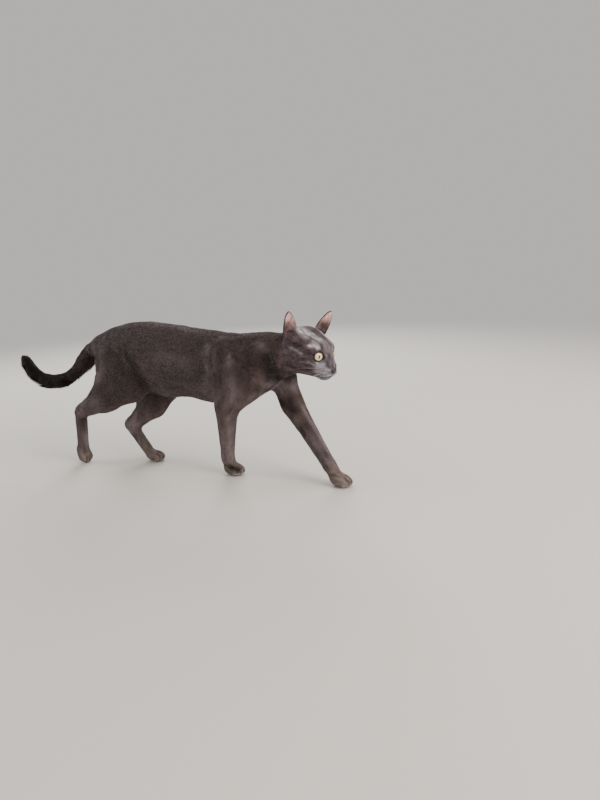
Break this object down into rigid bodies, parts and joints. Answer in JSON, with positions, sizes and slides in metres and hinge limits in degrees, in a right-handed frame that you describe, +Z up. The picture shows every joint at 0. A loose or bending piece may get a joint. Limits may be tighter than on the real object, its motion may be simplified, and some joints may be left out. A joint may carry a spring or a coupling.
{
  "type": "cat",
  "caption": "Life-size model of a blue-grey short-haired cat in mid walk, head turned, tail low with its end raised, standing on its paws.",
  "frame": {"origin": "middle of the bounding box's base, on the floor between the paws", "axes": "+X the way the cat walks, +Y to its left, +Z up"},
  "size_m": [0.7076, 0.1134, 0.2944],
  "materials": {
    "coat": "short dense blue-grey fur with a soft sheen",
    "ear": "thin skin, pink-mauve inside, with fine fur",
    "eye": "wet, clear cornea over a pale gold iris",
    "nose": "damp, finely pebbled dark slate"
  },
  "bodies": {
    "root": {"trunk": "coat", "neck": "coat", "head": "coat", "tail_base": "coat", "tail_middle": "coat", "tail_tip": "coat", "fore_leg_right": "coat", "fore_leg_left": "coat", "fore_paw_right": "coat", "fore_paw_left": "coat", "hind_leg_right": "coat", "hind_leg_left": "coat", "hind_paw_right": "coat", "hind_paw_left": "coat", "ear_right": "ear", "ear_left": "ear", "eye_right": "eye", "eye_left": "eye", "nose": "nose"}
  },
  "joints": []
}
